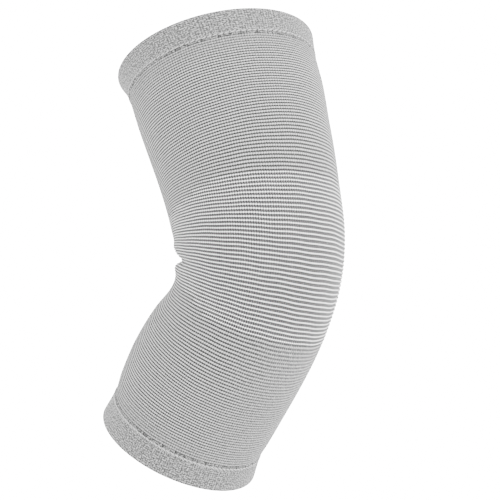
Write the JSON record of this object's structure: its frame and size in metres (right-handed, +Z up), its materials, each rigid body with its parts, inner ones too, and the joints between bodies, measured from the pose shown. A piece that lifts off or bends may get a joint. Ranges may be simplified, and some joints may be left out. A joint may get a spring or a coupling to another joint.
{
  "type": "knee compression sleeve",
  "caption": "Seamless knitted compression sleeve for a bent knee: a ribbed tube open at both ends, with a coarser knee panel and turned cuffs.",
  "frame": {"origin": "centre of the knee, in the hollow, halfway round the bend of the centreline", "axes": "+Z up; the kneecap faces -Y; the thigh end leans back up, the calf end leans back down; x = 0 is the plane of symmetry"},
  "size_m": [0.1482, 0.1888, 0.328],
  "materials": {
    "cuff_knit": "matt knitted elastic yarn, light grey melange, turned double",
    "ribbed_knit": "matt fine ribbed knit, light grey rows with darker valleys",
    "panel_knit": "matt coarser ribbed knit, near-white rows with mid-grey valleys"
  },
  "bodies": {
    "root": {"thigh_cuff": "cuff_knit", "thigh_section": "ribbed_knit", "knee_panel": "panel_knit", "calf_section": "ribbed_knit", "calf_cuff": "cuff_knit"}
  },
  "joints": []
}
